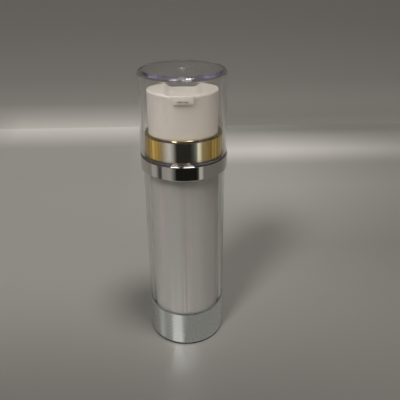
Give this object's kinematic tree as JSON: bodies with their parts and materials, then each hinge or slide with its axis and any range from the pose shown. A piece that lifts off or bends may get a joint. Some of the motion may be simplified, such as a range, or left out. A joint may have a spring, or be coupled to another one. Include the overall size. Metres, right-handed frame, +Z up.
{
  "type": "dual chamber pump bottle",
  "caption": "Clear round bottle with twin airless chambers, one press-down pump head with a flat spout, gold collar, silver shoulder ring, satin base cup and a clear lift-off cap.",
  "frame": {"origin": "middle of the base cup's underside, on the surface the bottle stands on", "axes": "+Z up along the bottle's axis, -Y to the front where the spout points, +X to the right chamber"},
  "size_m": [0.0424, 0.0424, 0.1454],
  "materials": {
    "clear_styrene": "clear polished styrene moulding",
    "white_polypropylene": "satin moulded polypropylene",
    "pearl_polypropylene": "pearly translucent polypropylene",
    "soft_polyethylene": "soft waxy polyethylene",
    "gold_plate": "mirror gold plate on moulded plastic",
    "silver_plate": "mirror silver plate on moulded plastic",
    "satin_silver": "satin silver plate on moulded plastic",
    "spring_steel": "bright stainless steel"
  },
  "bodies": {
    "bottle": {"base_cup": "satin_silver", "outer_bottle": "clear_styrene", "shoulder_ring": "silver_plate", "pump_carrier": "white_polypropylene", "pump_collar": "gold_plate", "chamber_left": "pearl_polypropylene", "chamber_right": "pearl_polypropylene", "chamber_base_left": "white_polypropylene", "chamber_base_right": "white_polypropylene", "pump_housing_left": "white_polypropylene", "pump_housing_right": "white_polypropylene", "housing_gasket_left": "soft_polyethylene", "housing_gasket_right": "soft_polyethylene", "housing_closure_left": "white_polypropylene", "housing_closure_right": "white_polypropylene", "return_spring_left": "spring_steel", "return_spring_right": "spring_steel"},
    "pump_head": {"actuator": "white_polypropylene", "outlet_manifold": "white_polypropylene", "pump_stem_left": "white_polypropylene", "pump_stem_right": "white_polypropylene", "piston_seal_left": "soft_polyethylene", "piston_seal_right": "soft_polyethylene"},
    "cap": {"overcap": "clear_styrene"},
    "left_follower": {"follower_left": "soft_polyethylene"},
    "right_follower": {"follower_right": "soft_polyethylene"},
    "left_inlet_ball": {"inlet_ball_left": "spring_steel"},
    "right_inlet_ball": {"inlet_ball_right": "spring_steel"}
  },
  "joints": [
    {"name": "cap_lift", "type": "slide", "parent": "bottle", "child": "cap", "axis": [0, 0, 1], "range_m": [0, 0.045]},
    {"name": "head_press", "type": "slide", "parent": "bottle", "child": "pump_head", "axis": [0, 0, -1], "range_m": [0, 0.0045], "stiffness_N_per_m": 2500, "springref_m": -0.0015, "deforming": ["return_spring_left", "return_spring_right"]},
    {"name": "left_follower_rise", "type": "slide", "parent": "bottle", "child": "left_follower", "axis": [0, 0, 1], "range_m": [0, 0.0685]},
    {"name": "right_follower_rise", "type": "slide", "parent": "bottle", "child": "right_follower", "axis": [0, 0, 1], "range_m": [0, 0.0685]},
    {"name": "left_ball_lift", "type": "slide", "parent": "bottle", "child": "left_inlet_ball", "axis": [0, 0, 1], "range_m": [0, 0.0008]},
    {"name": "right_ball_lift", "type": "slide", "parent": "bottle", "child": "right_inlet_ball", "axis": [0, 0, 1], "range_m": [0, 0.0008]}
  ],
  "couplings": [
    {"joint": "right_follower_rise", "follows": "left_follower_rise", "ratio": 1},
    {"joint": "right_ball_lift", "follows": "left_ball_lift", "ratio": 1}
  ]
}
